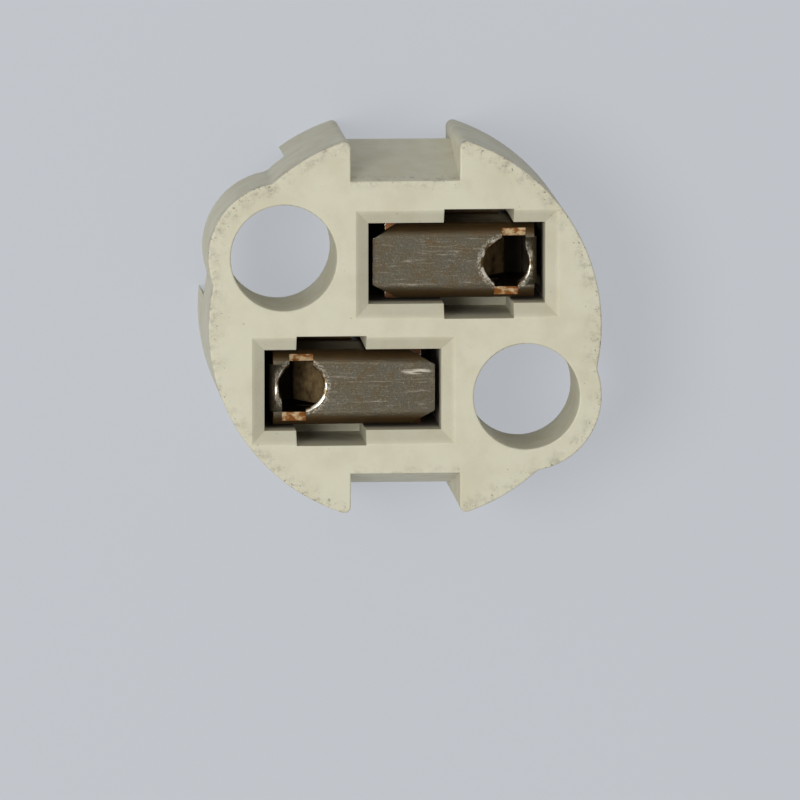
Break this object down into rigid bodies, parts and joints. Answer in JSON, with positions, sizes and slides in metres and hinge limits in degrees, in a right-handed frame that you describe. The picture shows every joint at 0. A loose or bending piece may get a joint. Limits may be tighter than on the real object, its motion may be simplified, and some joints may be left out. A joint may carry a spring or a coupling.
{
  "type": "ceramic lamp holder",
  "caption": "Small round ceramic lamp holder with folded pin contacts in flared wells, ears with fixing holes and ramped clip notches.",
  "frame": {"origin": "centre of the flat back face of the ceramic body, on the lamp axis", "axes": "+Z along the lamp axis and out of the front face, +Y through the middle of one clip notch, +X towards the right-hand contact's pin entry"},
  "size_m": [0.018, 0.017, 0.009],
  "materials": {
    "steatite": "unglazed fired steatite, matt ivory",
    "plated_copper": "tarnished nickel plate over copper alloy, bare at the cut edges",
    "spring_strip": "heat-tinted spring strip"
  },
  "bodies": {
    "root": {"ceramic_body": "steatite", "contact_right": "plated_copper", "contact_left": "plated_copper", "grip_spring_right": "spring_strip", "grip_spring_left": "spring_strip"}
  },
  "joints": []
}
